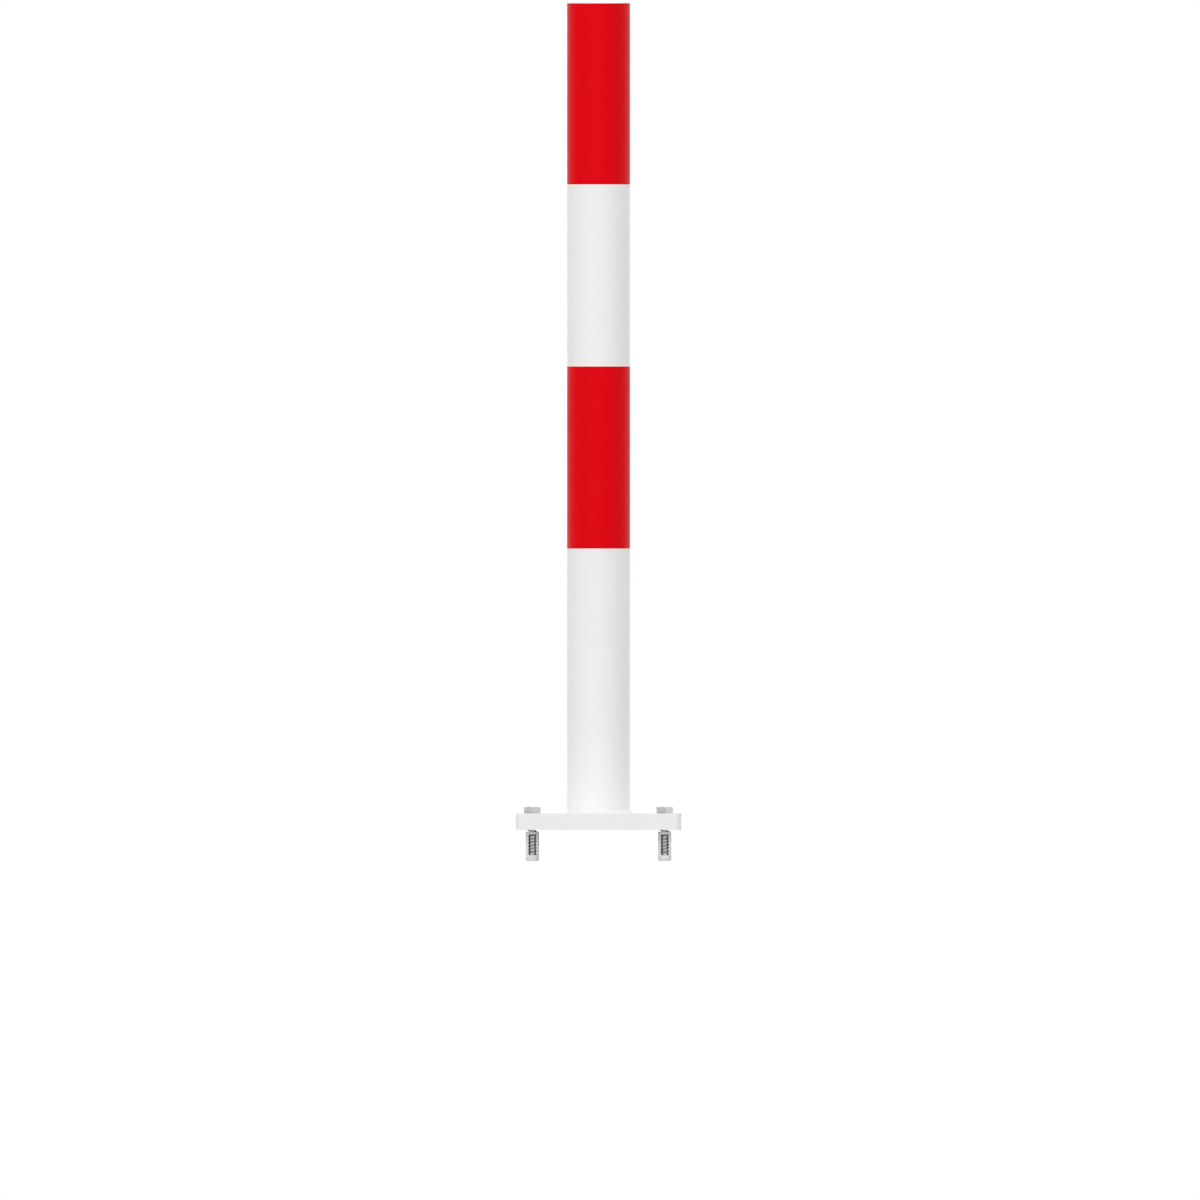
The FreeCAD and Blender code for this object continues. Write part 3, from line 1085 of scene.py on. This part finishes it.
@dataclass
class ExpansionPlug:
    """Moulded plug round a screw's thread: neck, two slits, barbs, fins and a closed nose.

    Its own zero height is its upper rim.
    """

    nylon: Material
    radius: float = 8.0
    rim_rounding: float = 0.4
    bore: float = 6.05
    mouth_rounding: float = 0.3
    floor: float = -29.3
    length: float = 35.0
    neck: float = 3.0
    barb_pitch: float = 4.8
    barbs: int = 5
    barb_depth: float = 0.8
    barb_land: float = 1.0
    nose_taper: float = 1.0
    nose_length: float = 2.0
    nose_rounding: float = 0.6
    slit_half_width: float = 5.0
    slit_end: float = -28.3
    gate_radius: float = 2.2
    gate_depth: float = 0.4
    fin_half_width: float = 0.8
    fin_relief: float = 0.02
    fin_merge: float = 3 * SNAP
    steps: int = 96

    def blank(self) -> BMesh:
        """Turns the barbed body with its bore.

        Returns:
            The mesh of the body, without slits and fins.
        """
        outline = [
            (0.0, -self.length + self.gate_depth),
            (self.gate_radius - self.gate_depth, -self.length + self.gate_depth),
            (self.gate_radius, -self.length),
            (self.radius - self.nose_taper, -self.length),
            (self.radius, -self.length + self.nose_length),
        ]
        root = self.radius - self.barb_depth
        for number in reversed(range(self.barbs)):
            upper = -self.neck - number * self.barb_pitch
            lower = upper - self.barb_pitch
            outline += [
                (self.radius, lower + self.barb_land),
                (root, lower + self.barb_land),
                (self.radius, upper),
            ]
        outline += [(self.radius, 0.0), (self.bore, 0.0), (self.bore, self.floor), (0.0, self.floor)]
        bm = turned(outline, self.steps, closed=False)
        nose_rim = self.radius - self.nose_taper
        round_off(bm, ring_edges(bm, self.radius, 0.0), self.rim_rounding, segments=3)
        round_off(bm, ring_edges(bm, self.bore, 0.0), self.mouth_rounding, segments=3)
        round_off(bm, ring_edges(bm, nose_rim, -self.length), self.nose_rounding, segments=4)
        return bm

    def raise_fins(self, bm: BMesh) -> None:
        """Raises the two fins between the barbs.

        Args:
            bm: the mesh of the body.
        """
        for offset in (-self.fin_half_width, self.fin_half_width):
            cut(bm, (0.0, offset, 0.0), (0.0, 1.0, 0.0))
        foot = -self.neck - self.barbs * self.barb_pitch + self.barb_land
        inside = (self.bore + self.radius - self.barb_depth) / 2
        for side in (-1, 1):
            strip = []
            for face in bm.faces:
                middle = face.calc_center_median()
                level = foot - SNAP < middle.z < -self.neck
                if level and abs(middle.y) < self.fin_half_width and side * middle.x > inside:
                    strip.append(face)
            raised = bmesh.ops.extrude_face_region(bm, geom=strip)["geom"]
            bmesh.ops.delete(bm, geom=[face for face in strip if face.is_valid], context="FACES")
            for vert in verts_of(raised):
                vert.co.x = side * (self.radius - self.fin_relief)
            near = [
                vert for vert in bm.verts
                if side * vert.co.x > inside and abs(vert.co.y) < self.fin_half_width + SNAP
            ]
            # The merge goes by the order of the vertices, which Blender doesn't repeat from run to run
            near.sort(key=lambda vert: tuple(vert.co))
            bmesh.ops.remove_doubles(bm, verts=near, dist=self.fin_merge)

    def cut_slits(self, bm: BMesh) -> None:
        """Saws through both walls, front and back, and closes the cut faces.

        Args:
            bm: the mesh of the body.
        """
        half, top, end = self.slit_half_width, -self.neck, self.slit_end
        for offset in (-half, half):
            cut(bm, (offset, 0.0, 0.0), (1.0, 0.0, 0.0))
        for level in (top, end):
            cut(bm, (0.0, 0.0, level), Z_AXIS)
        sawn = []
        for face in bm.faces:
            middle = face.calc_center_median()
            if abs(middle.x) < half and end < middle.z < top and abs(middle.y) > self.bore / 2:
                sawn.append(face)
        bmesh.ops.delete(bm, geom=sawn, context="FACES")
        for side in (-1, 1):
            for x in (-half, half):
                for level in (top, end):
                    ends = [
                        vert for vert in bm.verts
                        if abs(vert.co.x - x) < SNAP and abs(vert.co.z - level) < SNAP
                        and side * vert.co.y > 0 and any(edge.is_boundary for edge in vert.link_edges)
                    ]
                    bm.edges.new((min(ends, key=radius_of), max(ends, key=radius_of)))
            # The cut faces lie across X, axis 0, at the slit's sides and across Z, axis 2, at its ends
            for axis, place in ((0, -half), (0, half), (2, top), (2, end)):
                rim = [
                    edge for edge in open_or_loose(bm)
                    if all(abs(v.co[axis] - place) < SNAP and side * v.co.y > 0 for v in edge.verts)
                ]
                bmesh.ops.edgeloop_fill(bm, edges=rim)

    def build(self, station: Station, height: float) -> None:
        """Stands the plug under its hole.

        Args:
            station: the corner of the plate.
            height: where the plug's upper rim lies.
        """
        bm = self.blank()
        self.raise_fins(bm)
        self.cut_slits(bm)
        bmesh.ops.translate(bm, vec=(station.x, station.y, height), verts=bm.verts)
        name = f"expansion_plug_{station.name.lower()}"
        Piece(name, bm, self.nylon, Node.PLUGS, Slot.NYLON).place()


@dataclass
class Anchorage:
    """The four screws and the plugs that they spread."""

    zinc: Material
    nylon: Material

    def build(self) -> None:
        """Makes a screw and a plug at each station."""
        plate_top = cad_box(Node.PLATE)[1].z
        plug_rim = cad_box(Node.PLUGS)[1].z
        for station in Station:
            HexScrew(self.zinc).build(station, plate_top)
            ExpansionPlug(self.nylon).build(station, plug_rim)


# The studio


@dataclass(frozen=True)
class Lamp:
    """A wide, even lamp far away.

    Azimuth 0 is the front and 90 the right. Its level is a share of full white, and its spread how wide it
    looks, in degrees. One that isn't mirrored in gloss leaves no glare on level faces seen from behind.
    """

    name: str
    azimuth: float
    elevation: float
    level: float
    spread: float
    mirrored: bool = True
    distance: float = 2.0

    def hang(self) -> None:
        """Adds the lamp to the scene."""
        data = bpy.data.lights.new(self.name, "SUN")
        data.energy = self.level * math.pi
        data.angle = math.radians(self.spread)
        thing = bpy.data.objects.new(self.name, data)
        around, up = math.radians(self.azimuth), math.radians(self.elevation)
        towards = Vector((math.sin(around) * math.cos(up), -math.cos(around) * math.cos(up), math.sin(up)))
        thing.rotation_euler = towards.to_track_quat("Z", "Y").to_euler()
        thing.location = towards * self.distance
        thing.visible_glossy = self.mirrored
        bpy.context.scene.collection.objects.link(thing)


@dataclass
class Studio:
    """Pale floor, white background, soft lamps and the camera of the drawing.

    The floor's size and the camera's distance and reach are in metres.
    """

    ambient: float = 0.33
    floor_bounce: float = 0.5
    floor_tone: float = 0.93
    floor_lift: float = 0.2
    floor_roughness: tuple[float, float] = (0.85, 0.95)
    floor_grain: float = 3.0
    floor_size: float = 40.0
    image_width: float = 1200.0
    millimetres_per_pixel: float = 1.20823
    image_middle: tuple[float, float] = (1.75, 277.85)
    camera_distance: float = 3.0
    camera_reach: float = 100.0
    lamps: list[Lamp] = field(default_factory=lambda: [
        Lamp("key_lamp", azimuth=-20.0, elevation=26.0, level=0.67, spread=70.0, mirrored=False),
        Lamp("fill_lamp", azimuth=80.0, elevation=18.0, level=0.27, spread=100.0),
        Lamp("left_back_lamp", azimuth=-150.0, elevation=22.0, level=0.27, spread=90.0),
        Lamp("right_back_lamp", azimuth=150.0, elevation=22.0, level=0.27, spread=90.0),
    ])

    @staticmethod
    def seen_share(tree: NodeTree) -> NodeSocket:
        """Adds nodes that tell what is looked at from what gives light.

        Args:
            tree: the material's or the world's nodes.

        Returns:
            1 for rays of the camera, of gloss and through glass, and 0 for the rest.
        """
        path = tree.nodes.new("ShaderNodeLightPath")
        share = path.outputs["Is Camera Ray"]
        for kind in ("Is Glossy Ray", "Is Transmission Ray"):
            larger = tree.nodes.new("ShaderNodeMath")
            larger.operation = "MAXIMUM"
            tree.links.new(share, larger.inputs[0])
            tree.links.new(path.outputs[kind], larger.inputs[1])
            share = larger.outputs["Value"]
        return share

    def light_world(self) -> None:
        """Sets an even light from all round and a white background."""
        world = bpy.data.worlds.new("soft_room")
        bpy.context.scene.world = world
        world.use_nodes = True
        tree = world.node_tree
        tree.nodes.clear()
        output = tree.nodes.new("ShaderNodeOutputWorld")
        mix = tree.nodes.new("ShaderNodeMixShader")
        tree.links.new(self.seen_share(tree), mix.inputs["Fac"])
        for socket, strength in ((1, self.ambient), (2, 1.0)):
            light = tree.nodes.new("ShaderNodeBackground")
            light.inputs["Color"].default_value = WHITE
            light.inputs["Strength"].default_value = strength
            tree.links.new(light.outputs["Background"], mix.inputs[socket])
        tree.links.new(mix.outputs["Shader"], output.inputs["Surface"])

    def lay_floor(self) -> None:
        """Lays a pale floor under the plugs' noses."""
        recipe = Recipe("pale_floor")
        seen = self.seen_share(recipe.tree)
        recipe.shade({
            "Base Color": recipe.between(seen, self.floor_bounce, self.floor_tone),
            "Roughness": recipe.between(recipe.cloud(self.floor_grain), *self.floor_roughness),
            "Specular IOR Level": 0.0,
            "Emission Color": WHITE,
            "Emission Strength": recipe.between(seen, 0.0, self.floor_lift),
        })
        bm = bmesh.new()
        bmesh.ops.create_grid(bm, x_segments=2, y_segments=2, size=self.floor_size / 2)
        bmesh.ops.translate(bm, vec=(0.0, 0.0, CAD_BOX[0].z), verts=bm.verts)
        data = bpy.data.meshes.new("pale_floor")
        bm.to_mesh(data)
        bm.free()
        data.materials.append(recipe.material)
        floor = bpy.data.objects.new("pale_floor", data)
        bpy.context.scene.collection.objects.link(floor)

    def set_camera(self) -> None:
        """Looks at the post straight from the front, in parallel lines, as the drawing does."""
        data = bpy.data.cameras.new("front_view")
        data.type = "ORTHO"
        data.ortho_scale = self.image_width * self.millimetres_per_pixel * MM
        data.clip_end = self.camera_reach
        camera = bpy.data.objects.new("front_view", data)
        across, up = self.image_middle
        camera.location = (across * MM, -self.camera_distance, up * MM)
        camera.rotation_euler = (math.radians(90), 0.0, 0.0)
        bpy.context.scene.collection.objects.link(camera)
        bpy.context.scene.camera = camera

    def build(self) -> None:
        """Sets the studio up."""
        bpy.context.scene.view_settings.view_transform = "Standard"
        self.light_world()
        self.lay_floor()
        for lamp in self.lamps:
            lamp.hang()
        self.set_camera()


def main() -> None:
    """Builds the sub-assemblies in order."""
    coat = PowderCoat().material()
    film = BeadedFilm().material()
    Post(coat).build()
    Foot(coat).build()
    Band("upper_film", Node.UPPER_BAND, film).build()
    Band("lower_film", Node.LOWER_BAND, film).build()
    Anchorage(ZincPlating().material(), NaturalNylon().material()).build()
    Studio().build()


if __name__ == "__main__":
    main()
